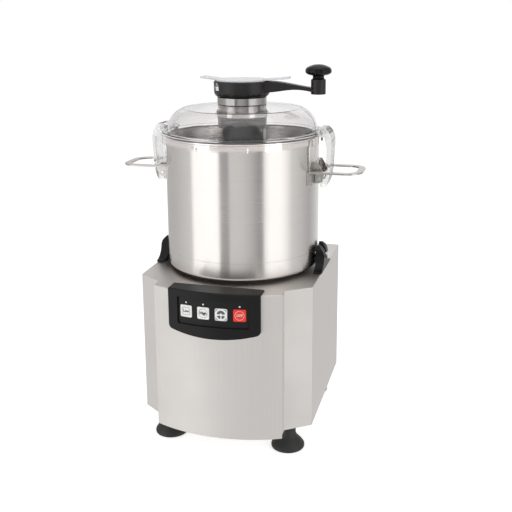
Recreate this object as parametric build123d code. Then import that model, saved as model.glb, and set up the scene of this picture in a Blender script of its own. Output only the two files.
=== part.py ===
"""Meat bowl cutter: a table-top cutter with a lift-off bowl, a clear lid with a hand-turned wall scraper,
two snap latches and a vertical motor in a folded stainless housing. Millimetres, +Z up. The origin is on the
table, under the centre of the bounding box. Every piece is drawn around the bowl axis, and save() moves it
back by axis_y into the part's frame."""

import os
from math import atan2, cos, hypot, radians, sin, sqrt, tan

from build123d import *

# ---------------------------------------------------------------- fits and clearances
seat_gap = 0.3          # between pieces that rest on or in each other
running_gap = 0.05      # radial, shaft in bore
sliding_gap = 0.25      # each side, button in its hole
screw_gap = 0.15        # radial, screw in a clearance hole
screw_radius = 2.0
screw_head_radius = 4.2
screw_head_height = 2.2

# ---------------------------------------------------------------- housing
base_margin = 14.5              # from the bowl's wall to the side walls
base_back = 132.0               # from the bowl axis
side_front = -103.0             # where the side walls end
strip_inner_x = 102.3           # corner strips run from the side walls to here
strip_inner_y = -126.4
panel_half_width = 98.1         # bulged front panel
panel_corner_y = -146.0
panel_bulge = 21.2
base_bottom = 44.0
base_top = 265.0
panel_drop = 5.0                # how far the front panel hangs below the side walls
sheet = 1.5
bend_radius = 2.0
return_flange = 14.0
plate_thickness = 2.0
cover_half_width = 92.0
cover_bottom = 72.0
cover_height = 150.0
cover_sheet = 1.2
cover_lap = 9.0
louvre_count = 9
louvre_length = 120.0
louvre_height = 4.5
louvre_pitch = 12.0
vent_slot_count = 7
vent_slot_length = 70.0
vent_slot_width = 5.0
vent_slot_pitch = 11.0

# ---------------------------------------------------------------- feet
foot_x = 96.0
foot_front_y = -95.7
foot_rear_y = 105.0
foot_radius = 25.8
foot_lip = 4.5
foot_bell_height = 26.0         # from the floor to where the neck starts
foot_neck_radius = 12.4
foot_bore = 4.2
foot_bolt_radius = 4.0
foot_bolt_head = 7.5
foot_bolt_head_height = 5.0
foot_recess_depth = 14.0

# ---------------------------------------------------------------- motor
motor_radius = 68.0
stator_bore = 45.0
stator_bottom = 115.0
stator_length = 90.0
winding_radius = 61.0
winding_inner = 48.0
winding_height = 14.0
shield_wall = 5.0
window_inner = 30.0             # of the lower shield's air windows
window_outer = 56.0
window_half = 7.0
shield_flange_radius = 84.0
shield_flange = 7.0
air_gap = 0.5
shaft_radius = 10.0
shaft_bottom = 52.0
bearing_radius = 19.0
bearing_height = 13.0
upper_bearing_z = 236.0
lower_bearing_z = 84.0
seal_radius = 16.0
boss_radius = 21.0
boss_top = 268.5
fan_radius = 52.0
fan_hub_radius = 14.0
fan_height = 14.0
fan_blades = 8
fan_blade_thickness = 2.0
motor_bolt_circle = 76.0
motor_bolt_radius = 3.0
capacitor_radius = 20.0
capacitor_height = 72.0
capacitor_x = 84.0
capacitor_y = 62.0
gland_x = -88.0
gland_z = 58.0
gland_radius = 9.0
gland_bore = 4.0
gland_nut = 12.0

# ---------------------------------------------------------------- control panel
bezel_half_width = 70.0
bezel_bottom = 197.3
bezel_bottom_rise = 9.0         # the lower edge bows down in the middle by this much
bezel_proud = 4.0
bezel_ledge_back = -137.0
bezel_ledge_height = 3.0
window_half_width = 54.5
window_bottom = 215.5
window_height = 42.0
bezel_corner = 7.0
membrane_thickness = 1.5
sheet_cutout_margin = 4.0
button_size = 18.2
button_pitch = 27.0
button_z = 235.8
button_thickness = 2.0
button_proud = 0.8
button_travel = 0.8
button_corner = 2.0
stem_radius = 3.0
lamp_radius = 1.3
lamp_z = 248.9
lamp_length = 5.0
board_y = -156.0
board_half_width = 60.0
board_bottom = 201.0
board_height = 59.0
board_thickness = 1.6
standoff_x = 56.0
standoff_radius = 2.5
switch_size = 10.0

# ---------------------------------------------------------------- bowl
bowl_radius = 120.5
bowl_wall = 1.2
bowl_bottom = 269.5
bowl_floor = 2.0
bowl_corner = 5.0
bowl_seam = 6.0                 # from the pins' top edge up to the weld of wall and floor
rim_z = 475.5
rim_bead = 1.6
seat_inset = 14.5               # from the bowl's wall to the seat ring
seat_width = 14.0
tube_outer = 17.0
tube_wall = 2.0
tube_top = 357.0
tube_flange = 32.0
tube_flange_height = 2.5
bowl_pin_radius = 4.0
bowl_pin_z = 285.0
bowl_pin_head = 6.0
bowl_pin_head_length = 2.0

# ---------------------------------------------------------------- forks
fork_play = 2.0                 # between the bowl's wall and each fork
fork_thickness = 13.5
fork_rise = 18.0                # top of the fork over the bowl's pin
fork_top_half = 19.0
fork_top_round = 5.0
fork_foot_half = 38.0
fork_foot_edge = 2.5
fork_flare_height = 22.0        # where the foot's flare runs out
fork_waist_half = 17.0
fork_shoulder = 19.0            # height of the curve that thins the fork towards its top
fork_tip_thickness = 5.0
fork_flare_bow = 0.12           # how hollow the flare is, as a share of its length
slot_mouth_half = 9.0
slot_mouth_depth = 10.0
fork_screw_y = 13.0
fork_screw_inset = 4.5          # from the fork's inner face
fork_screw_depth = 10.0

# ---------------------------------------------------------------- handles and catches
handle_length = 72.5            # out from the bowl's wall
handle_wire_y = 35.0            # centre line of each side run
handle_z = 423.0
strip_width = 10.0
strip_thickness = 2.6
handle_corner = 26.0
handle_pad_bottom = 405.0
handle_pad_outer_y = 46.0
handle_pad_inner_y = 25.0
pad_thickness = 2.2
catch_pin_radius = 2.5
catch_pin_out = 7.0             # from the bowl's wall to the pin's axis
catch_pin_z = 411.0
catch_half_width = 21.5
catch_sheet = 2.0
catch_top = 437.0
catch_bottom = 404.0

# ---------------------------------------------------------------- blades
blade_play = 16.3               # between the tips and the bowl's wall
blade_thickness = 2.5
blade_bevel = 8.0
lower_blade_z = 281.0
blade_spacing = 20.0
hub_radius = 25.0
hub_flange_radius = 32.0
hub_flange_height = 4.0
hex_flats = 15.0
hex_height = 14.0
hub_gap = 0.4                   # radial, hub over the bowl tube
hub_cap = 3.0                   # metal over the hexagonal socket
blade_nut_height = 8.0
hub_knob_radius = 19.0
hub_knob_height = 22.0
hub_knob_lobes = 6

# ---------------------------------------------------------------- lid
lid_wall = 3.0
seal_height = 2.0
seal_in = 4.0                   # how far the seal reaches in and out of the bowl's wall
seal_out = 1.3
flange_thickness = 3.2
skirt_play = 3.1                # between the bowl's wall and the skirt
skirt_wall = 2.6
skirt_bottom = 464.0
dome_inset = 2.9                # from the bowl's wall
dome_shoulder_inset = 25.6
dome_shoulder_z = 515.5
dome_top = 521.0
lid_lip_half_angle = 19.0
lid_lip_proud = 3.6
lid_lip_height = 6.0
neck_boss_wall = 3.0
neck_boss_bottom = 509.0

# ---------------------------------------------------------------- latches
latch_bow = 14.6                # how far the arm bows out past its pivot
latch_bow_high = 0.34           # where it bows most, as a share of the way from pivot to catch pin
latch_bow_low = 0.6
latch_half_width = 18.0
latch_pivot_out = 9.5           # from the bowl's wall to the pivot's axis
latch_pivot_z = 481.5
latch_pin_radius = 2.5
latch_eye_radius = 7.0
lug_thickness = 4.5
lug_height = 6.0
latch_rib = 3.5
latch_skin = 3.6
lid_travel = 230.0
latch_angle = 110.0             # opened by the whole lid travel

# ---------------------------------------------------------------- crank and scraper
sleeve_outer = 34.8
sleeve_wall = 3.5
collar_radius = 38.5
ring_bottom = 531.8
ring_top = 556.5
ring_radius = 43.8
ring_base_radius = 36.5
ring_curve_height = 9.0
cup_radius = 38.2
cup_floor = 3.5
retainer_radius = 39.5
retainer_bottom = 503.3
hub_block_half = 38.0
hub_block_bottom = 486.0
hub_bore = 24.0
lower_body_radius = 30.5
lower_body_bottom = 464.0
scraper_arm_width = 16.0
scraper_arm_height = 9.0
wiper_play = 3.7                # between the bowl's wall and the wiper
wiper_depth = 8.0
wiper_width = 12.0
wiper_bottom = 290.0
crank_reach = 120.3
boss_r = 11.3
boss_bottom = 537.7
boss_height = 22.7
arm_root_half = 13.0
arm_end_half = 7.5
crank_pin_radius = 4.0
crank_pin_length = 28.0
crank_pin_root = 15.4           # of it in the boss
knob_radius = 20.0
knob_neck_radius = 9.4
knob_neck_height = 5.7
knob_under_radius = 11.0        # where the neck flares into the cap
knob_under_height = 6.0         # cap, below its widest
knob_dome_height = 10.4         # cap, above its widest

# ---------------------------------------------------------------- feed cap
cap_radius = 40.0
cap_thickness = 2.4
cap_plug_depth = 10.0
cap_plug_wall = 2.0
wing_left = 64.0
wing_right = 75.0
wing_half_width = 13.0
wing_thickness = 3.0
wing_rise = 4.5

# ---------------------------------------------------------------- worked out from the above
inner_bowl = bowl_radius - bowl_wall
base_half_width = bowl_radius + base_margin
seat_outer = bowl_radius - seat_inset
seat_inner = seat_outer - seat_width
fork_inner_x = bowl_radius + fork_play
handle_reach = bowl_radius + handle_length
catch_pin_r = bowl_radius + catch_pin_out
blade_reach = inner_bowl - blade_play
seal_inner = bowl_radius - seal_in
seal_outer = bowl_radius + seal_out
skirt_inner = bowl_radius + skirt_play
dome_radius = bowl_radius - dome_inset
dome_shoulder_r = dome_radius - dome_shoulder_inset
latch_pivot_r = bowl_radius + latch_pivot_out
wiper_outer = inner_bowl - wiper_play
front_arc_radius = (panel_half_width ** 2 + panel_bulge ** 2) / (2 * panel_bulge)
front_arc_y = panel_corner_y - panel_bulge + front_arc_radius
front_y = panel_corner_y - panel_bulge - bezel_proud
fork_top = bowl_pin_z + fork_rise
back_y = base_back + cover_sheet + screw_head_height
axis_y = -(front_y + back_y) / 2
cavity_bottom = base_bottom + sheet
cavity_top = base_top - sheet
plate_bottom = cavity_bottom + seat_gap
plate_top = plate_bottom + plate_thickness
foot_top = plate_bottom - seat_gap
stator_top = stator_bottom + stator_length
flange_z = cavity_top - seat_gap
bowl_seam_z = bowl_pin_z + bowl_pin_head + bowl_seam
flange_bottom = rim_z + seat_gap + seal_height + seat_gap
flange_top = flange_bottom + flange_thickness
skirt_outer = skirt_inner + skirt_wall
catch_r = bowl_radius + seat_gap
shaft_top = tube_top + 1.0
hub_web = shaft_top + seat_gap
hub_bottom = lower_blade_z - hub_flange_height
upper_blade_z = lower_blade_z + blade_spacing
collar_bottom = dome_top + seat_gap
boss_top_z = boss_bottom + boss_height
crank_pin_base = boss_top_z - crank_pin_root
crank_pin_top = crank_pin_base + crank_pin_length
knob_bottom = boss_top_z + seat_gap
knob_under = knob_bottom + knob_neck_height
knob_widest = knob_under + knob_under_height
knob_top = knob_widest + knob_dome_height
corners = [(sx, sy) for sx in (-1, 1) for sy in (-1, 1)]
feet = {
    "foot_front_left": (-foot_x, foot_front_y),
    "foot_front_right": (foot_x, foot_front_y),
    "foot_rear_left": (-foot_x, foot_rear_y),
    "foot_rear_right": (foot_x, foot_rear_y),
}
buttons = ["button_low", "button_high", "button_pulse", "button_off"]
button_x = [(i - (len(buttons) - 1) / 2) * button_pitch for i in range(len(buttons))]


# ---------------------------------------------------------------- helpers
def block(x0, x1, y0, y1, z0, z1):
    return Pos((x0 + x1) / 2, (y0 + y1) / 2, (z0 + z1) / 2) * Box(x1 - x0, y1 - y0, z1 - z0)


def disc(radius, z0, z1, x=0.0, y=0.0):
    low = (Align.CENTER, Align.CENTER, Align.MIN)
    return Pos(x, y, z0) * Cylinder(radius, z1 - z0, align=low)


def tube(outer, inner, z0, z1, x=0.0, y=0.0):
    return disc(outer, z0, z1, x, y) - disc(inner, z0 - 1, z1 + 1, x, y)


def rod(start, end, radius):
    """A round bar between two points."""
    axis = Vector(*end) - Vector(*start)
    plane = Plane(origin=start, z_dir=axis)
    return extrude(plane * Circle(radius), axis.length)


def turned(points):
    """A solid of revolution about Z from its (radius, z) outline."""
    outline = Polyline(*[(r, 0, z) for r, z in points], close=True)
    return revolve(make_face(outline), Axis.Z)


def profile_xz(lines, y0, y1):
    """A closed outline in the XZ plane, drawn out from y0 to y1."""
    face = make_face(lines)
    return Pos(0, y0, 0) * extrude(face, y1 - y0, dir=(0, 1, 0))


def xz(*points):
    return [(x, 0, z) for x, z in points]


def arc_about(centre, start, end):
    """The arc in the XZ plane from start to end, given as (x, z), about a centre."""
    (cx, cz), (x0, z0), (x1, z1) = centre, start, end
    radius = hypot(x0 - cx, z0 - cz)
    dx, dz = (x0 + x1) / 2 - cx, (z0 + z1) / 2 - cz
    if hypot(dx, dz) < radius * 1e-3:
        dx, dz = z1 - z0, x0 - x1
    scale = radius / hypot(dx, dz)
    return ThreePointArc((x0, 0, z0), (cx + dx * scale, 0, cz + dz * scale), (x1, 0, z1))


def quarter_oval(centre, rx, rz):
    """A quarter of an oval in the XZ plane, from its widest point to its end; rz below zero goes down."""
    cx, cz = centre
    share = sqrt(0.5)
    return Spline((cx + rx, 0, cz), (cx + rx * share, 0, cz + rz * share), (cx, 0, cz + rz),
                  tangents=[(0, 0, rz), (-rx, 0, 0)])


def mirrored(solid):
    return mirror(solid, Plane.YZ)


def save(node, *shapes):
    """Writes one node's STEP file, moved from the bowl axis into the part's frame."""
    solids = [s for shape in shapes for s in shape.solids()]
    moved = [Pos(0, axis_y, 0) * s for s in solids]
    export_step(moved[0] if len(moved) == 1 else Compound(children=moved), f"parts/{node}.step")


def screw(x, y, z, length, head=screw_head_radius, head_height=screw_head_height, radius=screw_radius):
    """A screw driven downwards, its head resting on z."""
    body = disc(head, z, z + head_height, x, y) + disc(radius, z - length, z, x, y)
    edges = body.edges().group_by(Axis.Z)[-1]
    return fillet(edges, head_height * 0.45)


def upward_screw(x, y, z, length):
    """A screw driven upwards, its head under z."""
    return mirror(screw(x, y, -z, length), Plane.XY)


# ---------------------------------------------------------------- housing
def front_arc(inset):
    """Radius and half width of the front panel's arc, moved in by a wall."""
    return front_arc_radius - inset, panel_half_width - inset


def plan(inset, z):
    """The housing's outline seen from above, moved in by a wall thickness."""
    radius, half = front_arc(inset)
    corner_y = front_arc_y - sqrt(radius ** 2 - half ** 2)
    slope = atan2(side_front - strip_inner_y, base_half_width - strip_inner_x)
    side = base_half_width - inset
    side_y = side_front + inset * tan(slope / 2)
    step_y = strip_inner_y + inset * (1 / cos(slope)) + (half - strip_inner_x) * tan(slope)
    back = base_back - inset
    arc = ThreePointArc((-half, corner_y, z), (0, front_arc_y - radius, z), (half, corner_y, z))
    rest = Polyline((half, corner_y, z), (half, step_y, z), (side, side_y, z), (side, back, z),
                    (-side, back, z), (-side, side_y, z), (-half, step_y, z), (-half, corner_y, z))
    return make_face(arc.edges() + rest.edges())


def curved_wall(r0, r1, half, z0, z1):
    """A slice of the cylinder that the front panel is rolled to."""
    ring = tube(front_arc_radius + r1, front_arc_radius + r0, z0, z1, 0, front_arc_y)
    return ring & block(-half, half, front_arc_y - 2 * front_arc_radius, panel_corner_y + 2 * panel_bulge,
                        z0, z1)


def base_housing():
    outer = extrude(plan(0, base_bottom - panel_drop), base_top - base_bottom + panel_drop)
    upright = [e for e in outer.edges().filter_by(Axis.Z) if abs(e.center().X) > strip_inner_x]
    outer = fillet(upright, bend_radius)
    outer = fillet(outer.edges().group_by(Axis.Z)[-1], bend_radius * 0.6)
    body = outer - extrude(plan(sheet, cavity_bottom), cavity_top - cavity_bottom)
    body -= extrude(plan(return_flange, base_bottom - 2 * panel_drop), return_flange)
    lip_zone = curved_wall(-sheet, bend_radius, panel_half_width, base_bottom - panel_drop, base_bottom)
    reach = base_half_width + base_back
    below = block(-reach, reach, -reach, reach, base_bottom - 2 * panel_drop, base_bottom)
    body = body - (below - lip_zone)
    body -= disc(boss_radius + seat_gap, cavity_top - 1, base_top + 1)
    for x, y in bolt_circle():
        body -= disc(motor_bolt_radius + screw_gap, cavity_top - 1, base_top + 1, x, y)
    for side in (-1, 1):
        for y in (-fork_screw_y, fork_screw_y):
            body -= disc(screw_radius + screw_gap, cavity_top - 1, base_top + 1, side * fork_screw_x(), y)
    half = window_half_width - sheet_cutout_margin
    body -= block(-half, half, front_y, board_y, window_bottom + sheet_cutout_margin,
                  window_bottom + window_height - sheet_cutout_margin)
    opening = cover_half_width - cover_lap
    body -= block(-opening, opening, base_back - 2 * sheet, base_back + 1, cover_bottom + cover_lap,
                  cover_bottom + cover_height - cover_lap)
    for x, z in cover_screw_places():
        body -= rod((x, base_back - 2 * sheet, z), (x, base_back + 1, z), screw_radius + screw_gap)
    for x, y in plate_screw_places():
        body -= disc(screw_radius + screw_gap, base_bottom - 1, cavity_bottom + 1, x, y)
    body -= rod((gland_x, base_back - 2 * sheet, gland_z), (gland_x, base_back + 1, gland_z), gland_radius)
    return body


def bolt_circle():
    return [(motor_bolt_circle * sx / sqrt(2), motor_bolt_circle * sy / sqrt(2)) for sx, sy in corners]


def cover_screw_places():
    rows = (cover_bottom + cover_lap / 2, cover_bottom + cover_height - cover_lap / 2)
    columns = (-cover_half_width + cover_lap / 2, 0, cover_half_width - cover_lap / 2)
    return [(x, z) for x in columns for z in rows]


def base_plate():
    plate = extrude(plan(sheet + seat_gap, plate_bottom), plate_thickness)
    for x, y in feet.values():
        plate -= disc(foot_bolt_radius + screw_gap, plate_bottom - 1, plate_top + 1, x, y)
    for i in range(vent_slot_count):
        y = (i - (vent_slot_count - 1) / 2) * vent_slot_pitch
        slot = Pos(0, y, plate_bottom - 1) * extrude(SlotOverall(vent_slot_length, vent_slot_width),
                                                     plate_thickness + 2)
        plate -= slot
    for x, y in plate_screw_places():
        plate -= disc(screw_radius + screw_gap, plate_bottom - 1, plate_top + 1, x, y)
    return plate


def plate_screw_places():
    inset = return_flange / 2
    side = base_half_width - inset
    return [(-side, 0), (side, 0), (-side, base_back / 2), (side, base_back / 2),
            (-foot_x / 2, base_back - inset), (foot_x / 2, base_back - inset)]


def rear_cover():
    cover = block(-cover_half_width, cover_half_width, base_back, base_back + cover_sheet,
                  cover_bottom, cover_bottom + cover_height)
    cover = fillet(cover.edges().filter_by(Axis.Y), 2 * cover_sheet)
    middle = cover_bottom + cover_height / 2
    for i in range(louvre_count):
        z = middle + (i - (louvre_count - 1) / 2) * louvre_pitch
        half = louvre_length / 2
        cover -= block(-half, half, base_back - 1, base_back + cover_sheet + 1, z, z + louvre_height)
        hood = Polyline((0, base_back + cover_sheet, z + louvre_height),
                        (0, base_back + cover_sheet + louvre_height / 2, z + louvre_height / 2),
                        (0, base_back + cover_sheet + louvre_height / 2, z + louvre_height / 2 + cover_sheet),
                        (0, base_back + cover_sheet, z + louvre_height + 2 * cover_sheet), close=True)
        cover += Pos(-half, 0, 0) * extrude(make_face(hood), 2 * half, dir=(1, 0, 0))
    for x, z in cover_screw_places():
        cover -= rod((x, base_back - 1, z), (x, base_back + 2 * cover_sheet, z), screw_radius + screw_gap)
    return cover


def plate_screws():
    for x, y in plate_screw_places():
        yield upward_screw(x, y, base_bottom, plate_top - base_bottom)


def cover_screws():
    for x, z in cover_screw_places():
        face = base_back + cover_sheet
        head = rod((x, face, z), (x, face + screw_head_height, z), screw_head_radius)
        yield head + rod((x, base_back - 3 * sheet, z), (x, face, z), screw_radius)


def foot():
    """A bell of rubber with a rounded rim, a hollow for the bolt's head and a straight neck."""
    rim_in = foot_radius - foot_lip / 2
    middle = ((foot_radius + foot_neck_radius) / 2 - 1, 0, (foot_lip + foot_bell_height) / 2 - 1)
    lines = [Line((foot_bore, 0, 0), (rim_in, 0, 0)),
             arc_about((rim_in, foot_lip / 2), (rim_in, 0), (foot_radius, foot_lip / 2)),
             Line((foot_radius, 0, foot_lip / 2), (foot_radius, 0, foot_lip)),
             Spline((foot_radius, 0, foot_lip), middle, (foot_neck_radius, 0, foot_bell_height),
                    tangents=[(-0.5, 0, 1), (0, 0, 1)]),
             Line((foot_neck_radius, 0, foot_bell_height), (foot_neck_radius, 0, foot_top)),
             Line((foot_neck_radius, 0, foot_top), (foot_bore, 0, foot_top)),
             Line((foot_bore, 0, foot_top), (foot_bore, 0, 0))]
    body = revolve(make_face(lines), Axis.Z)
    recess = foot_bolt_head + 2 * seat_gap
    return body - disc(recess, -1, foot_recess_depth)


def foot_bolts():
    for x, y in feet.values():
        head = Pos(x, y, foot_recess_depth - foot_bolt_head_height - seat_gap) * extrude(
            RegularPolygon(foot_bolt_head, 6), foot_bolt_head_height)
        shank = disc(foot_bolt_radius, foot_recess_depth - seat_gap - 1, plate_top + foot_bolt_head_height, x, y)
        nut = Pos(x, y, plate_top + seat_gap) * extrude(RegularPolygon(foot_bolt_head, 6), foot_bolt_head_height)
        yield head + shank + nut


# ---------------------------------------------------------------- motor
def motor_stator():
    body = tube(motor_radius, stator_bore, stator_bottom, stator_top)
    slots = 12
    for i in range(slots):
        body -= Rot(0, 0, i * 360 / slots) * block(motor_radius - 3, motor_radius + 1, -3, 3,
                                                   stator_bottom - 1, stator_top + 1)
    return body


def winding(z0):
    ring = tube(winding_radius, winding_inner, z0, z0 + winding_height)
    return fillet(ring.edges().filter_by(GeomType.CIRCLE), winding_height * 0.3)


def upper_shield():
    """The cast end shield that hangs the motor from the housing's top and carries the upper bearing."""
    bearing_top = upper_bearing_z + bearing_height + seat_gap
    outline = [(bearing_radius + seat_gap / 10, upper_bearing_z - shield_wall),
               (bearing_radius + shield_wall, upper_bearing_z - shield_wall),
               (motor_radius - 2 * shield_wall, upper_bearing_z - 2 * shield_wall),
               (motor_radius - shield_wall, stator_top + winding_height),
               (motor_radius - shield_wall, stator_top + seat_gap),
               (motor_radius, stator_top + seat_gap),
               (motor_radius, upper_bearing_z - shield_wall),
               (motor_radius, flange_z - shield_flange),
               (shield_flange_radius, flange_z - shield_flange),
               (shield_flange_radius, flange_z),
               (boss_radius, flange_z),
               (boss_radius, boss_top),
               (seal_radius + running_gap, boss_top),
               (seal_radius + running_gap, bearing_top),
               (bearing_radius + seat_gap / 10, bearing_top)]
    body = turned(outline)
    for x, y in bolt_circle():
        body -= disc(motor_bolt_radius + screw_gap, flange_z - shield_flange - 1, flange_z + 1, x, y)
    return body


def lower_shield():
    """The lower end shield, a dished casting under the stator with the lower bearing in its hub."""
    top = stator_bottom - seat_gap
    hub_bottom_z = lower_bearing_z - shield_wall
    outline = [(shaft_radius + 2 * seat_gap, hub_bottom_z),
               (bearing_radius + shield_wall, hub_bottom_z),
               (bearing_radius + shield_wall, lower_bearing_z),
               (motor_radius - shield_wall, lower_bearing_z),
               (motor_radius, lower_bearing_z + shield_wall),
               (motor_radius, top),
               (motor_radius - shield_wall, top),
               (motor_radius - shield_wall, lower_bearing_z + shield_wall),
               (bearing_radius + shield_wall, lower_bearing_z + shield_wall),
               (bearing_radius + shield_wall, lower_bearing_z + bearing_height),
               (bearing_radius + seat_gap / 10, lower_bearing_z + bearing_height),
               (bearing_radius + seat_gap / 10, lower_bearing_z),
               (shaft_radius + 2 * seat_gap, lower_bearing_z)]
    body = turned(outline)
    for i in range(6):
        window = Rot(0, 0, i * 60) * block(window_inner, window_outer, -window_half, window_half,
                                           lower_bearing_z - 1, lower_bearing_z + shield_wall + 1)
        body -= window
    return body


def bearing(z0):
    outer = bearing_radius
    return tube(outer, shaft_radius + running_gap, z0, z0 + bearing_height)


def motor_bolts():
    for x, y in bolt_circle():
        yield screw(x, y, base_top, shield_flange + 3 * sheet, head=2 * motor_bolt_radius,
                    head_height=3.0, radius=motor_bolt_radius)


def motor_shaft():
    body = disc(shaft_radius, shaft_bottom, shaft_top)
    drive = Pos(0, 0, shaft_top) * extrude(RegularPolygon(hex_flats / 2, 6, major_radius=False), hex_height)
    tip = drive.edges().group_by(Axis.Z)[-1]
    return body + chamfer(tip, 1.0)


def cooling_fan():
    hub = tube(fan_hub_radius, shaft_radius, shaft_bottom, shaft_bottom + fan_height)
    disc_plate = tube(fan_radius, fan_hub_radius - 1, shaft_bottom, shaft_bottom + fan_blade_thickness)
    body = hub + disc_plate
    for i in range(fan_blades):
        blade = block(fan_hub_radius - 1, fan_radius - 1, -fan_blade_thickness / 2, fan_blade_thickness / 2,
                      shaft_bottom, shaft_bottom + fan_height)
        body += Rot(0, 0, i * 360 / fan_blades) * blade
    return body


def rotor_core():
    bore = stator_bore - air_gap
    body = tube(bore, shaft_radius, stator_bottom + 2, stator_top - 2)
    ends = tube(bore - 4, bore - 12, stator_bottom - 4, stator_bottom + 2)
    return body + ends + tube(bore - 4, bore - 12, stator_top - 2, stator_top + 4)


def shaft_seal():
    lip = shaft_radius + running_gap
    z0 = upper_bearing_z + bearing_height + seat_gap
    outline = [(lip, z0 + seat_gap), (seal_radius, z0 + seat_gap), (seal_radius, boss_top - 1),
               (shaft_radius + 2, boss_top + 1), (lip, boss_top - 1)]
    return turned(outline)


def run_capacitor():
    z0 = plate_top + seat_gap
    body = disc(capacitor_radius, z0, z0 + capacitor_height, capacitor_x, capacitor_y)
    body = fillet(body.edges().group_by(Axis.Z)[-1], 3)
    for dx in (-6, 6):
        body += disc(2, z0 + capacitor_height - 1, z0 + capacitor_height + 8, capacitor_x + dx, capacitor_y)
    return body


def cable_gland():
    wall = base_back
    face = wall + seat_gap
    body = rod((gland_x, wall - 4 * sheet, gland_z), (gland_x, face, gland_z), gland_radius - seat_gap)
    nut = Plane(origin=(gland_x, wall, gland_z), z_dir=(0, 1, 0))
    body += extrude(nut * RegularPolygon(gland_nut, 6), 1.5)
    bore = rod((gland_x, wall - 5 * sheet, gland_z), (gland_x, wall + 6, gland_z), gland_bore)
    return body - bore


# ---------------------------------------------------------------- control panel
def bezel():
    """The moulded frame on the rolled front, with a ledge over the top edge and a bowed lower edge."""
    low = bezel_bottom + bezel_bottom_rise
    top = base_top + bezel_ledge_height
    half = bezel_half_width
    sides = [Line((-half, 0, top), (half, 0, top)), Line((half, 0, top), (half, 0, low)),
             ThreePointArc((half, 0, low), (0, 0, bezel_bottom), (-half, 0, low)),
             Line((-half, 0, low), (-half, 0, top))]
    outline = profile_xz(sides, front_y - 1, panel_corner_y + panel_bulge)
    outline = fillet([e for e in outline.edges().filter_by(Axis.Y) if e.center().Z < low + 1], bezel_corner)
    face = curved_wall(seat_gap, bezel_proud, bezel_half_width + 1, bezel_bottom - 1, base_top + seat_gap)
    face &= outline
    ledge = disc(front_arc_radius + bezel_proud, base_top + seat_gap, top, 0, front_arc_y) & \
        block(-bezel_half_width, bezel_half_width, front_y - 1, bezel_ledge_back, base_top, top)
    body = face + ledge
    body -= opening_prism(window_half_width, window_bottom, window_height, 0)
    front = [e for e in body.edges() if e.center().Z > top - 0.1]
    return chamfer(front, bezel_ledge_height * 0.5)


def opening_prism(half, z0, height, grow):
    """A rounded square hole through the front, for the bezel's window."""
    area = RectangleRounded(2 * (half + grow), height + 2 * grow, 3.0)
    plane = Plane(origin=(0, front_y - 1, z0 + height / 2), x_dir=(1, 0, 0), z_dir=(0, 1, 0))
    return extrude(plane * area, bezel_proud + panel_bulge + 2)


def button_hole(x, size, y0, y1):
    plane = Plane(origin=(x, y0, button_z), x_dir=(1, 0, 0), z_dir=(0, 1, 0))
    return extrude(plane * RectangleRounded(size, size, button_corner), y1 - y0)


def membrane():
    half = window_half_width - seat_gap
    sheet_face = curved_wall(seat_gap, seat_gap + membrane_thickness, half, window_bottom + seat_gap,
                             window_bottom + window_height - seat_gap)
    sheet_face &= opening_prism(window_half_width, window_bottom, window_height, -seat_gap)
    for x in button_x:
        sheet_face -= button_hole(x, button_size + 2 * sliding_gap, front_y - 1, board_y)
    for x in lamp_places():
        sheet_face -= rod((x, front_y - 1, lamp_z), (x, board_y, lamp_z), lamp_radius + sliding_gap)
    return sheet_face


def lamp_places():
    return [button_x[0], button_x[1], button_x[3]]


def lamps():
    for x in lamp_places():
        y = front_arc_y - sqrt((front_arc_radius + seat_gap + membrane_thickness) ** 2 - x ** 2)
        yield rod((x, y, lamp_z), (x, y + lamp_length, lamp_z), lamp_radius)


def button(x):
    """A rolled key cap with a stem that ends one stroke and a little more from its switch."""
    r0 = seat_gap + membrane_thickness + button_proud - button_thickness
    cap = curved_wall(r0, r0 + button_thickness, panel_half_width, button_z - button_size,
                      button_z + button_size)
    cap &= button_hole(x, button_size, front_y - 1, board_y)
    y = front_arc_y - sqrt((front_arc_radius + r0) ** 2 - x ** 2)
    stem = rod((x, y - 0.5, button_z), (x, switch_front() - button_travel - seat_gap, button_z), stem_radius)
    return cap + stem


def switch_front():
    return board_y - seat_gap - 2.0


def control_board():
    """The soldered board: key switches in front, and four spacers that stand off the front sheet."""
    board = block(-board_half_width, board_half_width, board_y, board_y + board_thickness, board_bottom,
                  board_bottom + board_height)
    half = switch_size / 2
    for x in button_x:
        board += block(x - half, x + half, switch_front(), board_y, button_z - half, button_z + half)
    inner_x = standoff_x - standoff_radius
    y = front_arc_y - sqrt((front_arc_radius - sheet) ** 2 - inner_x ** 2) + 4 * seat_gap
    for x in (-standoff_x, standoff_x):
        for z in (board_bottom + 2 * standoff_radius, board_bottom + board_height - 2 * standoff_radius):
            board += rod((x, y, z), (x, board_y, z), standoff_radius)
    return board


# ---------------------------------------------------------------- bowl
def bowl_seat():
    return tube(seat_outer, seat_inner, base_top, bowl_bottom - seat_gap)


def bowl_rim():
    """The rolled bead that closes the wall at its top."""
    z0 = rim_z - 2 * rim_bead
    lines = [Line((inner_bowl, 0, z0), (bowl_radius, 0, z0)),
             arc_about((bowl_radius, rim_z - rim_bead), (bowl_radius, z0), (bowl_radius, rim_z)),
             Line((bowl_radius, 0, rim_z), (inner_bowl, 0, rim_z)),
             Line((inner_bowl, 0, rim_z), (inner_bowl, 0, z0))]
    return revolve(make_face(lines), Axis.Z)


def bowl_wall_tube():
    """The bowl's straight wall, welded onto the dished floor."""
    return tube(bowl_radius, inner_bowl, bowl_seam_z, rim_z - 2 * rim_bead)


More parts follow.
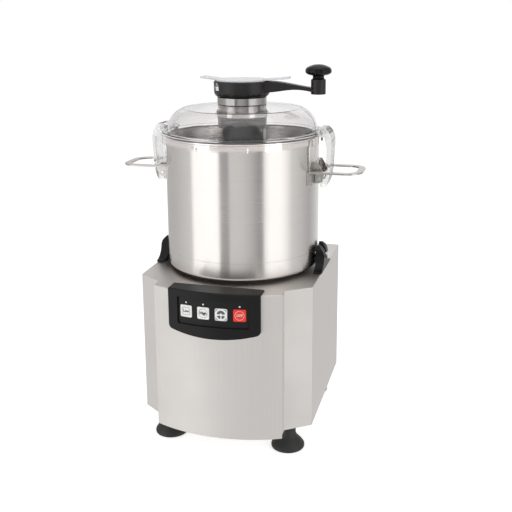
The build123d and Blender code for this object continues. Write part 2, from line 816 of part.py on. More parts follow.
def bowl_dish():
    """The bowl's pressed floor, with an upturned edge and a hole for the centre tube."""
    floor = bowl_bottom + bowl_floor
    inner_corner = bowl_corner - bowl_wall
    lines = [Line((tube_outer, 0, bowl_bottom), (bowl_radius - bowl_corner, 0, bowl_bottom)),
             arc_about((bowl_radius - bowl_corner, bowl_bottom + bowl_corner),
                       (bowl_radius - bowl_corner, bowl_bottom), (bowl_radius, bowl_bottom + bowl_corner)),
             Line((bowl_radius, 0, bowl_bottom + bowl_corner), (bowl_radius, 0, bowl_seam_z)),
             Line((bowl_radius, 0, bowl_seam_z), (inner_bowl, 0, bowl_seam_z)),
             Line((inner_bowl, 0, bowl_seam_z), (inner_bowl, 0, floor + inner_corner)),
             arc_about((inner_bowl - inner_corner, floor + inner_corner), (inner_bowl, floor + inner_corner),
                       (inner_bowl - inner_corner, floor)),
             Line((inner_bowl - inner_corner, 0, floor), (tube_outer, 0, floor)),
             Line((tube_outer, 0, floor), (tube_outer, 0, bowl_bottom))]
    body = revolve(make_face(lines), Axis.Z)
    for side in (-1, 1):
        body -= rod((side * (inner_bowl - 5), 0, bowl_pin_z), (side * (bowl_radius + 5), 0, bowl_pin_z),
                    bowl_pin_radius)
    return body


def bowl_tube():
    floor = bowl_bottom + bowl_floor
    inner = tube_outer - tube_wall
    return turned([(inner, bowl_bottom), (tube_outer, bowl_bottom), (tube_outer, floor), (tube_flange, floor),
                   (tube_flange - 1, floor + tube_flange_height), (tube_outer, floor + tube_flange_height),
                   (tube_outer, tube_top), (inner, tube_top)])


def bowl_pin():
    x0 = inner_bowl
    x1 = fork_inner_x + fork_thickness + 1.5
    pin = rod((x0, 0, bowl_pin_z), (x1, 0, bowl_pin_z), bowl_pin_radius)
    return pin + rod((x1, 0, bowl_pin_z), (x1 + bowl_pin_head_length, 0, bowl_pin_z), bowl_pin_head)


# ---------------------------------------------------------------- forks
def fork_screw_x():
    return fork_inner_x + fork_screw_inset


def fork():
    """An upright with a flared foot, an outer face that leans in towards the top, and a slot that the
    bowl's pin drops into, with a wide lead-in."""
    slot = bowl_pin_radius + sliding_gap
    slot_floor = bowl_pin_z - slot
    edge_z = base_top + fork_foot_edge
    flare_z = base_top + fork_flare_height
    flare = hypot(fork_foot_half - fork_waist_half, flare_z - edge_z)
    half = [((fork_foot_half, base_top), (fork_foot_half, edge_z)),
            ((fork_waist_half, flare_z), (fork_top_half, fork_top - fork_top_round)),
            ((fork_top_half, fork_top - fork_top_round), (fork_top_half - fork_top_round, fork_top)),
            ((fork_top_half - fork_top_round, fork_top), (slot_mouth_half, fork_top)),
            ((slot_mouth_half, fork_top), (slot, fork_top - slot_mouth_depth)),
            ((slot, fork_top - slot_mouth_depth), (slot, slot_floor))]
    lines = [Line((0, -fork_foot_half, base_top), (0, fork_foot_half, base_top)),
             Line((0, -slot, slot_floor), (0, slot, slot_floor))]
    for side in (-1, 1):
        lines += [Line((0, side * y0, z0), (0, side * y1, z1)) for (y0, z0), (y1, z1) in half]
        middle = (0, side * ((fork_foot_half + fork_waist_half) / 2 - flare * fork_flare_bow),
                  (edge_z + flare_z) / 2 - flare * fork_flare_bow)
        lines.append(ThreePointArc((0, side * fork_foot_half, edge_z), middle,
                                   (0, side * fork_waist_half, flare_z)))
    body = Pos(fork_inner_x, 0, 0) * extrude(make_face(lines), fork_thickness, dir=(1, 0, 0))
    outer_x = fork_inner_x + fork_thickness
    shoulder_z = fork_top - fork_shoulder
    lean = [Line((fork_inner_x, 0, base_top), (outer_x, 0, base_top)),
            Line((outer_x, 0, base_top), (outer_x, 0, shoulder_z)),
            Spline((outer_x, 0, shoulder_z), (fork_inner_x + fork_tip_thickness, 0, fork_top),
                   tangents=[(0, 0, 1), (-1, 0, 1)]),
            Line((fork_inner_x + fork_tip_thickness, 0, fork_top), (fork_inner_x, 0, fork_top)),
            Line((fork_inner_x, 0, fork_top), (fork_inner_x, 0, base_top))]
    body &= profile_xz(lean, -fork_foot_half, fork_foot_half)
    for y in (-fork_screw_y, fork_screw_y):
        body -= disc(screw_radius + screw_gap, base_top, base_top + fork_screw_depth + seat_gap,
                     fork_screw_x(), y)
    return body


def fork_screws():
    """Driven upwards through the housing's top into the forks."""
    for side in (-1, 1):
        for y in (-fork_screw_y, fork_screw_y):
            x = side * fork_screw_x()
            yield upward_screw(x, y, cavity_top, sheet + fork_screw_depth)


# ---------------------------------------------------------------- handles and catches
def wall_pad(y0, y1, z0, z1, thickness):
    """A plate rolled to the bowl's wall and welded to it."""
    ring = tube(bowl_radius + thickness, bowl_radius, z0, z1)
    return ring & block(bowl_radius / 2, 2 * bowl_radius, y0, y1, z0, z1)


def handle():
    """A flat bar bent into a loop, with both ends turned down against the bowl's wall."""
    outer_half = handle_wire_y + strip_width / 2
    inner_half = handle_wire_y - strip_width / 2
    z0 = handle_z - strip_thickness / 2
    outer = Pos(0, 0, z0) * extrude(RectangleRounded(2 * handle_reach, 2 * outer_half, handle_corner),
                                    strip_thickness)
    inner = Pos(0, 0, z0 - 1) * extrude(
        RectangleRounded(2 * (handle_reach - strip_width), 2 * inner_half, handle_corner - strip_width),
        strip_thickness + 2)
    loop = outer - inner - disc(bowl_radius, z0 - 1, z0 + strip_thickness + 1)
    loop &= block(0, 2 * handle_reach, -handle_reach, handle_reach, z0 - 1, z0 + strip_thickness + 1)
    loop = fillet(loop.edges().group_by(Axis.Z)[-1].filter_by(GeomType.LINE).filter_by(Axis.X), 0.8)
    for side in (-1, 1):
        y0, y1 = sorted((side * handle_pad_inner_y, side * handle_pad_outer_y))
        loop += wall_pad(y0, y1, handle_pad_bottom, z0 + strip_thickness, pad_thickness)
    return loop


def catch():
    """The bracket welded to the bowl that holds the latch's cross pin between two cheeks."""
    body = wall_pad(-catch_half_width, catch_half_width, catch_bottom, catch_top, catch_sheet)
    inside = bowl_radius - 3
    cheek = Polyline(*xz((inside, catch_top), (catch_r + catch_sheet + 1, catch_top), (catch_pin_r + 7, handle_z - 4),
                         (catch_pin_r + 4.5, catch_pin_z - 4.5), (catch_pin_r - 2, catch_bottom),
                         (inside, catch_bottom)), close=True)
    for y in (-catch_half_width, catch_half_width - catch_sheet):
        body += profile_xz(cheek, y, y + catch_sheet)
    body -= disc(bowl_radius, catch_bottom - 1, catch_top + 1)
    return body - rod((catch_pin_r, -30, catch_pin_z), (catch_pin_r, 30, catch_pin_z),
                      catch_pin_radius + running_gap)


def catch_pin():
    reach = catch_half_width + 1.0
    return rod((catch_pin_r, -reach, catch_pin_z), (catch_pin_r, reach, catch_pin_z), catch_pin_radius)


# ---------------------------------------------------------------- blades
def blade(z0, turn):
    """A two-winged sickle blade, ground to a bevel along each convex cutting edge."""
    root = hub_flange_radius - 6
    tip = (blade_reach * cos(radians(12)), blade_reach * sin(radians(12)), z0)
    heel = ((blade_reach - 5) * cos(radians(20)), (blade_reach - 5) * sin(radians(20)), z0)
    front_root = (root * 0.5, -root, z0)
    back_root = (root * 0.6, root * 0.8, z0)
    wing = make_face([ThreePointArc(front_root, (blade_reach * 0.72, -root * 0.9, z0), tip),
                      Line(tip, heel),
                      ThreePointArc(heel, (blade_reach * 0.58, root * 0.25, z0), back_root),
                      Line(back_root, front_root)])
    wing = extrude(wing, blade_thickness)
    cutting = [e for e in wing.edges().group_by(Axis.Z)[-1].filter_by(GeomType.CIRCLE) if e.center().Y < 0]
    wing = chamfer(cutting, blade_thickness - 0.3, blade_bevel)
    body = disc(hub_flange_radius, z0, z0 + blade_thickness) + wing + Rot(0, 0, 180) * wing
    body -= disc(hub_radius + running_gap, z0 - 1, z0 + blade_thickness + 1)
    return Rot(0, 0, turn) * body


def blade_hub():
    """The sleeve that drops over the bowl's centre tube, with the hexagonal drive in its top."""
    top = hub_top()
    bore = tube_outer + hub_gap
    body = turned([(bore, hub_bottom), (hub_flange_radius, hub_bottom),
                   (hub_flange_radius, lower_blade_z - seat_gap / 3), (hub_radius, lower_blade_z - seat_gap / 3),
                   (hub_radius, top - 3), (hub_radius - 3, top), (0, top), (0, hub_web), (bore, hub_web)])
    drive = Pos(0, 0, hub_web - 1) * extrude(
        RegularPolygon(hex_flats / 2 + running_gap, 6, major_radius=False), hex_height + 1)
    return body - drive


def hub_top():
    return hub_web + hex_height + hub_cap


def blade_spacer():
    return tube(hub_flange_radius, hub_radius + running_gap, lower_blade_z + blade_thickness + seat_gap / 3,
                upper_blade_z - seat_gap / 3)


def blade_nut():
    z0 = upper_blade_z + blade_thickness + seat_gap / 3
    nut = Pos(0, 0, z0) * extrude(RegularPolygon(hub_flange_radius, 8), blade_nut_height)
    nut = chamfer(nut.edges().group_by(Axis.Z)[-1], 1.0)
    return nut - disc(hub_radius + running_gap, z0 - 1, z0 + blade_nut_height + 1)


def hub_knob():
    z0 = hub_top() + seat_gap / 3
    body = disc(hub_knob_radius, z0, z0 + hub_knob_height)
    for i in range(hub_knob_lobes):
        flute = disc(hub_knob_radius * 0.28, z0 + 4, z0 + hub_knob_height + 1, hub_knob_radius * 1.12)
        body -= Rot(0, 0, i * 360 / hub_knob_lobes) * flute
    return fillet(body.edges().group_by(Axis.Z)[0], 1.0)


# ---------------------------------------------------------------- lid
def lid_seal():
    z0 = rim_z + seat_gap
    return tube(seal_outer, seal_inner, z0, z0 + seal_height)


def dome_lines(drop):
    """The dome's outline from its foot to its neck, moved in by a wall."""
    foot_r = dome_radius - drop
    shoulder = (dome_shoulder_r - drop * 0.4, 0, dome_shoulder_z - drop * 0.95)
    knee = (foot_r - 5.6, 0, flange_top + 19 - drop * 0.5)
    top = (sleeve_outer + 2 * seat_gap, 0, dome_top - drop)
    return [ThreePointArc((foot_r, 0, flange_top), knee, shoulder), Line(shoulder, top)]


def lid_dome():
    """The clear lid: dome, flange with a skirt around the bowl's rim, neck, front lip and latch lugs."""
    neck_r = sleeve_outer + 2 * seat_gap
    outside = dome_lines(0)
    inside = dome_lines(lid_wall)
    foot_in = dome_radius - lid_wall
    lines = outside + inside + [
        Line((neck_r, 0, dome_top), (neck_r, 0, dome_top - lid_wall)),
        Line((foot_in, 0, flange_top), (foot_in, 0, flange_bottom)),
        Line((foot_in, 0, flange_bottom), (skirt_inner, 0, flange_bottom)),
        Line((skirt_inner, 0, flange_bottom), (skirt_inner, 0, skirt_bottom)),
        Line((skirt_inner, 0, skirt_bottom), (skirt_outer, 0, skirt_bottom)),
        Line((skirt_outer, 0, skirt_bottom), (skirt_outer, 0, flange_top - 1)),
        Line((skirt_outer, 0, flange_top - 1), (skirt_outer - 1, 0, flange_top)),
        Line((skirt_outer - 1, 0, flange_top), (dome_radius, 0, flange_top))]
    body = revolve(make_face(lines), Axis.Z)
    body += tube(neck_r + neck_boss_wall, neck_r, neck_boss_bottom, dome_top - 1)
    body += front_lip()
    for side in (-1, 1):
        body -= block(*sorted((side * (seal_outer + 0.4), side * (skirt_outer + 5))),
                      -lug_inner(), lug_inner(), skirt_bottom - 1, flange_top + 1)
    for solid in (lug(), mirrored(lug())):
        body += solid
    hole = latch_pin_radius + running_gap
    for side in (-1, 1):
        r = side * latch_pivot_r
        body -= rod((r, -40, latch_pivot_z), (r, 40, latch_pivot_z), hole)
    return body


def front_lip():
    """A grip lip along the front of the skirt."""
    z1 = skirt_bottom + lid_lip_height
    reach = skirt_outer + lid_lip_proud
    ring = tube(reach, skirt_outer - 0.5, skirt_bottom, z1)
    half = reach * sin(radians(lid_lip_half_angle))
    return ring & block(-half, half, -2 * reach, 0, skirt_bottom, z1)


def lug_inner():
    return latch_half_width + seat_gap


def lug():
    """Two cheeks on the flange with the latch's pivot between them."""
    inner = lug_inner()
    outline = Polyline(*xz((dome_radius - 1, flange_bottom), (skirt_outer - 0.5, flange_bottom),
                           (latch_pivot_r + 3, latch_pivot_z - 5.5), (latch_pivot_r + 5.5, latch_pivot_z - 2),
                           (latch_pivot_r + 5, latch_pivot_z + 3), (latch_pivot_r + 1, latch_pivot_z + lug_height),
                           (dome_radius + 6, latch_pivot_z + lug_height), (dome_radius - 1, flange_top + 3)),
                       close=True)
    cheeks = profile_xz(outline, inner, inner + lug_thickness)
    return cheeks + mirror(cheeks, Plane.XZ)


def latch_pin():
    reach = lug_inner() + lug_thickness + 1.0
    r = latch_pivot_r
    return rod((r, -reach, latch_pivot_z), (r, reach, latch_pivot_z), latch_pin_radius)


# ---------------------------------------------------------------- latches
def latch():
    """A clear arm hinged on the lid. Its toe snaps under the bowl's cross pin by a ramp whose slope is the
    toe's own path as the arm swings out."""
    lever = latch_pivot_z - catch_pin_z
    slope = lever * radians(latch_angle) / lid_travel
    tilt = atan2(slope, 1.0)
    away = catch_pin_radius + 2 * seat_gap
    touch_r = catch_pin_r + away * cos(tilt)
    touch_z = catch_pin_z - away * sin(tilt)
    toe_top = touch_z - 6.0
    toe_r = touch_r - 6.0 * slope
    toe_bottom = toe_top - 6.0
    eye_top = latch_pivot_z + latch_eye_radius
    high, low = latch_pivot_z - lever * latch_bow_high, latch_pivot_z - lever * latch_bow_low
    outer = Spline((latch_pivot_r + 4, 0, eye_top), (latch_pivot_r + latch_bow * 0.8, 0, latch_pivot_z - 1.5),
                   (latch_pivot_r + latch_bow, 0, high), (latch_pivot_r + latch_bow * 0.92, 0, low),
                   (catch_pin_r + 12.5, 0, catch_pin_z - 3), (catch_pin_r + 8, 0, toe_bottom))
    inner_r = touch_r + 3.0
    inner = Spline((inner_r, 0, touch_z + 4.5), (latch_pivot_r + 6.7, 0, low),
                   (latch_pivot_r + 7.6, 0, high - 5), (latch_pivot_r + 3, 0, latch_pivot_z - 7))
    outline = [outer, Line((catch_pin_r + 8, 0, toe_bottom), (toe_r + 1.5, 0, toe_bottom + 1)),
               Line((toe_r + 1.5, 0, toe_bottom + 1), (toe_r, 0, toe_top)),
               Line((toe_r, 0, toe_top), (touch_r, 0, touch_z)),
               Line((touch_r, 0, touch_z), (inner_r, 0, touch_z + 4.5)),
               inner,
               Line((latch_pivot_r + 3, 0, latch_pivot_z - 7), (latch_pivot_r, 0, latch_pivot_z)),
               Line((latch_pivot_r, 0, latch_pivot_z), (latch_pivot_r + 4, 0, eye_top))]
    body = profile_xz(outline, -latch_half_width, latch_half_width)
    width = latch_half_width
    body += rod((latch_pivot_r, -width, latch_pivot_z), (latch_pivot_r, width, latch_pivot_z),
                latch_eye_radius)
    pocket = profile_xz(outline, -width + latch_rib, width - latch_rib)
    zone = block(latch_pivot_r - 9, latch_pivot_r + 30, -width, width, catch_pin_z + 10, latch_pivot_z - 14)
    body -= (Pos(-latch_skin, 0, 0) * pocket) & zone
    return body - rod((latch_pivot_r, -30, latch_pivot_z), (latch_pivot_r, 30, latch_pivot_z),
                      latch_pin_radius + running_gap)


# ---------------------------------------------------------------- crank and scraper
def crank_handle():
    """The black ring over the lid's neck and the curved arm that grows out of it to the knob's boss."""
    lines = [Line((sleeve_outer - sleeve_wall, 0, ring_bottom), (ring_base_radius, 0, ring_bottom)),
             ThreePointArc((ring_base_radius, 0, ring_bottom),
                           (ring_radius - 2.2, 0, ring_bottom + ring_curve_height * 0.38),
                           (ring_radius - 0.4, 0, ring_bottom + ring_curve_height)),
             Line((ring_radius - 0.4, 0, ring_bottom + ring_curve_height), (ring_radius, 0, ring_top - 1)),
             Line((ring_radius, 0, ring_top - 1), (ring_radius - 1, 0, ring_top)),
             Line((ring_radius - 1, 0, ring_top), (cup_radius, 0, ring_top)),
             Line((cup_radius, 0, ring_top), (cup_radius, 0, ring_bottom + cup_floor)),
             Line((cup_radius, 0, ring_bottom + cup_floor), (sleeve_outer - sleeve_wall, 0, ring_bottom + cup_floor)),
             Line((sleeve_outer - sleeve_wall, 0, ring_bottom + cup_floor),
                  (sleeve_outer - sleeve_wall, 0, ring_bottom))]
    ring = revolve(make_face(lines), Axis.Z)
    root = cup_radius + 1
    end = crank_reach
    side = [Spline((root, 0, ring_top - 0.5), (root + 26, 0, ring_top - 1.8), (end - 18, 0, ring_top - 7.7),
                   (end, 0, ring_top - 10)),
            Line((end, 0, ring_top - 10), (end, 0, boss_bottom + 1)),
            Spline((end, 0, boss_bottom + 1), (end - 12, 0, boss_bottom + 4.2), (root + 42, 0, boss_bottom + 6.4),
                   (root + 14, 0, boss_bottom + 3), (root, 0, boss_bottom + 2.5)),
            Line((root, 0, boss_bottom + 2.5), (root, 0, ring_top - 0.5))]
    arm = profile_xz(side, -arm_root_half * 2, arm_root_half * 2)
    taper = make_face([Spline((root, -arm_root_half * 1.3, 0), (root + 22, -arm_root_half * 0.85, 0),
                              (end, -arm_end_half, 0)),
                       Line((end, -arm_end_half, 0), (end, arm_end_half, 0)),
                       Spline((end, arm_end_half, 0), (root + 22, arm_root_half * 0.85, 0),
                              (root, arm_root_half * 1.3, 0)),
                       Line((root, arm_root_half * 1.3, 0), (root, -arm_root_half * 1.3, 0))])
    arm &= Pos(0, 0, boss_bottom - 5) * extrude(taper, 2 * boss_height)
    boss = disc(boss_r, boss_bottom, boss_bottom + boss_height, end)
    boss = fillet(boss.edges().filter_by(GeomType.CIRCLE), 1.2)
    body = ring + arm + boss
    return body - disc(crank_pin_radius + running_gap / 5, crank_pin_base - seat_gap, knob_top, end)


def crank_pin():
    return disc(crank_pin_radius, crank_pin_base, crank_pin_top, crank_reach)


def crank_knob():
    """The mushroom knob that turns on the steel pin."""
    bore = crank_pin_radius + running_gap
    lines = [Line((bore, 0, knob_bottom), (knob_neck_radius - 0.6, 0, knob_bottom)),
             Line((knob_neck_radius - 0.6, 0, knob_bottom), (knob_neck_radius, 0, knob_bottom + 0.6)),
             ThreePointArc((knob_neck_radius, 0, knob_bottom + 0.6),
                           (knob_neck_radius - 0.9, 0, (knob_bottom + knob_under) / 2),
                           (knob_under_radius, 0, knob_under)),
             quarter_oval((knob_under_radius, knob_widest), knob_radius - knob_under_radius, -knob_under_height),
             quarter_oval((0, knob_widest), knob_radius, knob_dome_height),
             Line((0, 0, knob_top), (0, 0, crank_pin_top + seat_gap)),
             Line((0, 0, crank_pin_top + seat_gap), (bore, 0, crank_pin_top + seat_gap)),
             Line((bore, 0, crank_pin_top + seat_gap), (bore, 0, knob_bottom))]
    return Pos(crank_reach, 0, 0) * revolve(make_face(lines), Axis.Z)


def scraper_sleeve():
    inner = sleeve_outer - sleeve_wall
    foot_z = hub_block_bottom + 4 + seat_gap / 3
    return turned([(inner, foot_z), (sleeve_outer, foot_z), (sleeve_outer, collar_bottom),
                   (collar_radius, collar_bottom), (collar_radius, ring_bottom - 0.1), (inner, ring_bottom - 0.1)])


def sleeve_retainer():
    inner = sleeve_outer + running_gap
    return turned([(inner, retainer_bottom), (retainer_radius - 1, retainer_bottom),
                   (retainer_radius, retainer_bottom + 1), (retainer_radius, neck_boss_bottom - seat_gap),
                   (inner, neck_boss_bottom - seat_gap)])


def scraper_hub():
    """The faceted black socket on the sleeve's lower end."""
    top = retainer_bottom - seat_gap
    step = hub_block_bottom + 4
    body = disc(hub_block_half, hub_block_bottom, top)
    for i in range(3):
        body &= Rot(0, 0, 60 * i) * block(-hub_block_half - 1, hub_block_half + 1, -hub_block_half + 1.5,
                                          hub_block_half - 1.5, hub_block_bottom, top)
    body += disc(lower_body_radius, lower_body_bottom, hub_block_bottom)
    body -= disc(sleeve_outer + running_gap, step, top + 1)
    return body - disc(hub_bore, lower_body_bottom - 1, top + 1)


def scraper_arm():
    """The arm along the lid and the upright that carries the wiper down the bowl's wall."""
    half = scraper_arm_width / 2
    z0 = lower_body_bottom + 2
    z1 = z0 + scraper_arm_height
    inner = wiper_outer - 2 * wiper_depth
    start = sqrt(lower_body_radius ** 2 - half ** 2) + seat_gap / 3
    body = block(-half, half, start, wiper_outer - wiper_depth, z0, z1)
    body -= disc(lower_body_radius + seat_gap / 3, z0 - 1, z1 + 1)
    body += block(-wiper_width / 2, wiper_width / 2, inner + 4, wiper_outer - wiper_depth,
                  wiper_bottom, z0 + 1)
    return body


def wiper_strip():
    half = wiper_width / 2 - 2
    body = block(-half, half, wiper_outer - wiper_depth + seat_gap / 3, wiper_outer, wiper_bottom,
                 lower_body_bottom + 2 + scraper_arm_height)
    tip = body.edges().filter_by(Axis.Z).sort_by(Axis.Y)[-2:]
    return chamfer(tip, half * 0.8)


# ---------------------------------------------------------------- feed cap
def feed_cap():
    """The clear plug in the feed neck with two finger wings that rise above the ring."""
    z0 = ring_top + seat_gap
    body = disc(cap_radius, z0, z0 + cap_thickness)
    plug = cup_radius - seat_gap
    body += tube(plug, plug - cap_plug_wall, z0 - cap_plug_depth, z0 + 0.5)
    for side, reach in ((-1, wing_left), (1, wing_right)):
        root = cap_radius - 8
        lines = Polyline(*xz((side * root, z0 + 0.2), (side * (cap_radius + 2), z0 + 1.2),
                             (side * reach, z0 + wing_rise - 1.0),
                             (side * reach, z0 + wing_rise - 1.0 + wing_thickness),
                             (side * (cap_radius - 2), z0 + 0.2 + wing_thickness),
                             (side * root, z0 + cap_thickness)), close=True)
        body += profile_xz(lines, -wing_half_width, wing_half_width)
    return body


# ---------------------------------------------------------------- all pieces
def main():
    os.makedirs("parts", exist_ok=True)
    save("base_housing", base_housing())
    save("base_plate", base_plate())
    save("rear_cover", rear_cover())
    save("housing_screws", *cover_screws(), *fork_screws(), *plate_screws())
    for name, (x, y) in feet.items():
        save(name, Pos(x, y, 0) * foot())
    save("foot_bolts", *foot_bolts())
    save("motor_stator", motor_stator())
    save("stator_windings", winding(stator_bottom - winding_height), winding(stator_top))
    save("motor_upper_shield", upper_shield())
    save("motor_lower_shield", lower_shield())
    save("shaft_bearings", bearing(upper_bearing_z), bearing(lower_bearing_z))
    save("shaft_seal", shaft_seal())
    save("motor_bolts", *motor_bolts())
    save("run_capacitor", run_capacitor())
    save("cable_gland", cable_gland())
    save("motor_shaft", motor_shaft())
    save("rotor_core", rotor_core())
    save("cooling_fan", cooling_fan())
    save("control_bezel", bezel())
    save("control_membrane", membrane())
    save("indicator_lamps", *lamps())
    save("control_board", control_board())
    for name, x in zip(buttons, button_x):
        save(name, button(x))
    save("bowl_seat", bowl_seat())
    save("bowl_shell", bowl_wall_tube(), bowl_dish(), bowl_rim())
    save("bowl_tube", bowl_tube())
    save("bowl_pins", bowl_pin(), mirrored(bowl_pin()))
    save("fork_right", fork())
    save("fork_left", mirrored(fork()))
    save("handle_right", handle())
    save("handle_left", mirrored(handle()))
    save("catch_right", catch())
    save("catch_left", mirrored(catch()))
    save("catch_pins", catch_pin(), mirrored(catch_pin()))
    save("blade_hub", blade_hub())
    save("lower_blade", blade(lower_blade_z, 0))
    save("blade_spacer", blade_spacer())
    save("upper_blade", blade(upper_blade_z, 90))
    save("blade_nut", blade_nut())
    save("hub_knob", hub_knob())
    save("lid_dome", lid_dome())
    save("lid_seal", lid_seal())
    save("latch_pins", latch_pin(), mirrored(latch_pin()))
    save("latch_right", latch())
    save("latch_left", mirrored(latch()))
    save("crank_handle", crank_handle())
    save("crank_pin", crank_pin())
    save("crank_knob", crank_knob())
    save("scraper_sleeve", scraper_sleeve())
    save("sleeve_retainer", sleeve_retainer())
    save("scraper_hub", scraper_hub())
    save("scraper_arm", scraper_arm())
    save("wiper_strip", wiper_strip())
    save("feed_cap", feed_cap())
    print("axis_y", axis_y)


main()
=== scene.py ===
import bpy
import bmesh
import math
from mathutils import Matrix, Vector


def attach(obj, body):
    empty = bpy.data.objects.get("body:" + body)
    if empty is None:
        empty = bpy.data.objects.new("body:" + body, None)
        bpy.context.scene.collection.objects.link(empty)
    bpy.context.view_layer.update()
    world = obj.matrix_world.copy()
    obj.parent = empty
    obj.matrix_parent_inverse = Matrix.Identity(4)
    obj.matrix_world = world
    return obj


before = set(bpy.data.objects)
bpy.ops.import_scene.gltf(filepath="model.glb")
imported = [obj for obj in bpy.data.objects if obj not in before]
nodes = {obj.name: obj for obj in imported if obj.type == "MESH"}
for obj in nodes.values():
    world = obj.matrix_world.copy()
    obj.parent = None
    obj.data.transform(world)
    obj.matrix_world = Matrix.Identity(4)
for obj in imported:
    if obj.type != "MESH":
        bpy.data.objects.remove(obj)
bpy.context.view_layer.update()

# ---------------------------------------------------------------- housing
# Shell folded from brushed stainless sheet, with the grain running up the walls. The floor plate and
# the rear cover are the same sheet, held by small screws.
HOUSING_STEEL = (0.72, 0.69, 0.665, 1)
HOUSING_GRAIN = (620.0, 620.0, 7.0)
SCREW_STEEL = (0.55, 0.55, 0.56, 1)
GRAIN_ROUGHNESS = 0.62
NOISE_MIDDLE = (0.28, 0.72)
STEEL_CLOUDS = 9.0
STEEL_CLOUD_SHARE = 0.3
STEEL_SHADES = (0.94, 1.04)
STEEL_EDGE = 0.0005
SIDEWAYS = (1.0, 0.0, 0.1)


def even(scale):
    """The same stretch along x, y and z."""
    return (scale, scale, scale)


def new_material(name):
    """An empty node material with its Principled shader."""
    material = bpy.data.materials.new(name)
    material.use_nodes = True
    return material, material.node_tree, material.node_tree.nodes["Principled BSDF"]


def feed(tree, socket, value):
    """Gives a socket a value, or links it to the socket that feeds it."""
    if isinstance(value, bpy.types.NodeSocket):
        tree.links.new(value, socket)
    else:
        socket.default_value = value


def add(tree, kind, inputs=None, **settings):
    """A node with its settings, whose inputs are values or the sockets that feed them."""
    made = tree.nodes.new("ShaderNode" + kind)
    for key, value in settings.items():
        setattr(made, key, value)
    for key, value in (inputs or {}).items():
        feed(tree, made.inputs[key], value)
    return made


def finish_shader(tree, shader, **values):
    """Sets a shader's inputs, named with underscores for spaces."""
    for key, value in values.items():
        feed(tree, shader.inputs[key.replace("_", " ")], value)


def times(tree, first, second):
    return add(tree, "Math", {0: first, 1: second}, operation="MULTIPLY").outputs[0]


def rescaled(tree, value, source, target=(0.0, 1.0)):
    """A value moved from one range to another, and held within it."""
    return add(tree, "MapRange", {"Value": value, "From Min": source[0], "From Max": source[1],
                                  "To Min": target[0], "To Max": target[1]}).outputs["Result"]


def grain(tree, stretch, detail=3.0):
    """Noise on the piece's own coordinates, stretched along x, y and z."""
    place = add(tree, "TexCoord").outputs["Object"]
    stretched = add(tree, "Mapping", {"Vector": place, "Scale": stretch})
    return add(tree, "TexNoise", {"Vector": stretched.outputs[0], "Scale": 1.0, "Detail": detail,
                                  "Roughness": GRAIN_ROUGHNESS}).outputs["Fac"]


def shade(tree, factor, colour, shades):
    """The colour between its dark and its light shade."""
    dark, light = shades
    mixed = add(tree, "Mix", data_type="RGBA")
    feed(tree, mixed.inputs["Factor"], factor)
    feed(tree, mixed.inputs[6], [dark * c for c in colour[:3]] + [1])
    feed(tree, mixed.inputs[7], [min(1.0, light * c) for c in colour[:3]] + [1])
    return mixed.outputs[2]


def relief(tree, height, depth, edge=None):
    """A bump of that depth in metres, over edges softened by a radius in metres."""
    bump = add(tree, "Bump", {"Height": height, "Distance": depth, "Strength": 1.0})
    if edge:
        soft = add(tree, "Bevel", {"Radius": edge}, samples=4)
        feed(tree, bump.inputs["Normal"], soft.outputs[0])
    return bump.outputs[0]


def brushed_steel(name, colour, stretch, roughness, spread, across=SIDEWAYS, depth=2e-6):
    """Stainless steel with fine grooves. They blur what they mirror by spread, in the direction across."""
    material, tree, shader = new_material(name)
    lines = grain(tree, stretch)
    clouds = grain(tree, even(STEEL_CLOUDS), 2.0)
    worn = add(tree, "Math", {0: lines, 1: clouds, 2: times(tree, clouds, STEEL_CLOUD_SHARE)},
               operation="MULTIPLY_ADD")
    direction = add(tree, "CombineXYZ", dict(zip("XYZ", across)))
    rough = rescaled(tree, worn.outputs[0], NOISE_MIDDLE, (roughness - 0.05, roughness + 0.07))
    finish_shader(tree, shader, Metallic=1.0, Anisotropic=spread, Tangent=direction.outputs[0],
                  Base_Color=shade(tree, lines, colour, STEEL_SHADES), Roughness=rough,
                  Normal=relief(tree, lines, depth, STEEL_EDGE))
    return material


def dress(material, *names):
    """Gives CAD nodes their finish."""
    for name in names:
        slots = nodes[name].data.materials
        for index in range(len(slots)):
            slots[index] = material


housing_steel = brushed_steel("housing_steel", HOUSING_STEEL, HOUSING_GRAIN, 0.46, 0.8, (1.0, 0.02, 0.0))
dress(housing_steel, "base_housing", "base_plate", "rear_cover")
screw_steel = brushed_steel("screw_steel", SCREW_STEEL, even(900.0), 0.34, 0.2)
dress(screw_steel, "housing_screws", "foot_bolts", "motor_bolts")

# ---------------------------------------------------------------- feet
# Four bell shaped feet moulded in black rubber, each on a bolt through the floor plate.
FOOT_RUBBER = (0.017, 0.0165, 0.016, 1)
MOULD_CLOUDS = 14.0
MOULD_SHADES = (0.88, 1.12)


def plain_finish(name, colour, roughness, speck=420.0, depth=3e-6, edge=0.0004, **values):
    """A moulded or painted surface with a fine even texture."""
    material, tree, shader = new_material(name)
    fine = grain(tree, even(speck), 4.0)
    clouds = grain(tree, even(MOULD_CLOUDS), 2.0)
    finish_shader(tree, shader, Base_Color=shade(tree, clouds, colour, MOULD_SHADES),
                  Roughness=rescaled(tree, fine, NOISE_MIDDLE, (roughness - 0.06, roughness + 0.06)),
                  Normal=relief(tree, fine, depth, edge), **values)
    return material


foot_rubber = plain_finish("foot_rubber", FOOT_RUBBER, 0.52, speck=300.0, depth=8e-6)
dress(foot_rubber, "foot_front_left", "foot_front_right", "foot_rear_left", "foot_rear_right")

